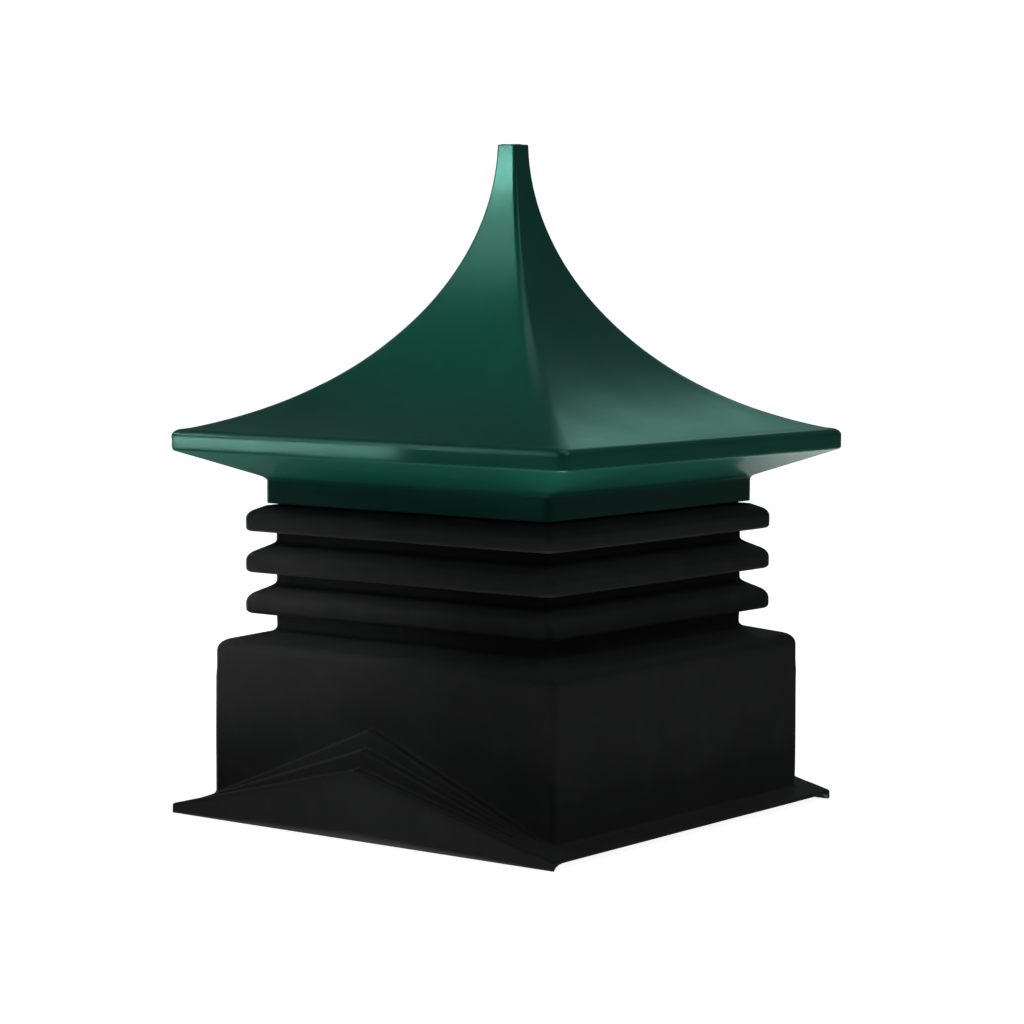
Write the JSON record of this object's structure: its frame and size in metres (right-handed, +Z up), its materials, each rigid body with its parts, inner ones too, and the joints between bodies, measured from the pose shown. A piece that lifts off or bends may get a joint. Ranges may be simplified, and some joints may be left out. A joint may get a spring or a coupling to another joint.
{
  "type": "roof cupola",
  "caption": "Square moulded roof cupola: a hollow base with louvre rings and stepped gable trim for a ridge, under a green pagoda roof that curves up to a narrow cut tip.",
  "frame": {"origin": "centre of the base, at its lowest edge", "axes": "+Z up through the tip, +Y to the back gable side, +X to the right eave side"},
  "size_m": [0.61, 0.61, 0.836],
  "materials": {
    "roof_green": "satin, moulded",
    "base_black": "fine matte, moulded"
  },
  "bodies": {
    "root": {"roof_tip": "roof_green", "roof_slope_front": "roof_green", "roof_slope_right": "roof_green", "roof_slope_back": "roof_green", "roof_slope_left": "roof_green", "eave_front": "roof_green", "eave_right": "roof_green", "eave_back": "roof_green", "eave_left": "roof_green", "collar_front": "roof_green", "collar_right": "roof_green", "collar_back": "roof_green", "collar_left": "roof_green", "louvre_top_front": "base_black", "louvre_top_right": "base_black", "louvre_top_back": "base_black", "louvre_top_left": "base_black", "louvre_middle_front": "base_black", "louvre_middle_right": "base_black", "louvre_middle_back": "base_black", "louvre_middle_left": "base_black", "louvre_bottom_front": "base_black", "louvre_bottom_right": "base_black", "louvre_bottom_back": "base_black", "louvre_bottom_left": "base_black", "shoulder_front": "base_black", "shoulder_right": "base_black", "shoulder_back": "base_black", "shoulder_left": "base_black", "wall_front": "base_black", "wall_right": "base_black", "wall_back": "base_black", "wall_left": "base_black", "skirt_right": "base_black", "skirt_left": "base_black", "gable_step_upper_front": "base_black", "gable_step_middle_front": "base_black", "gable_panel_front": "base_black", "gable_step_upper_back": "base_black", "gable_step_middle_back": "base_black", "gable_panel_back": "base_black"}
  },
  "joints": []
}
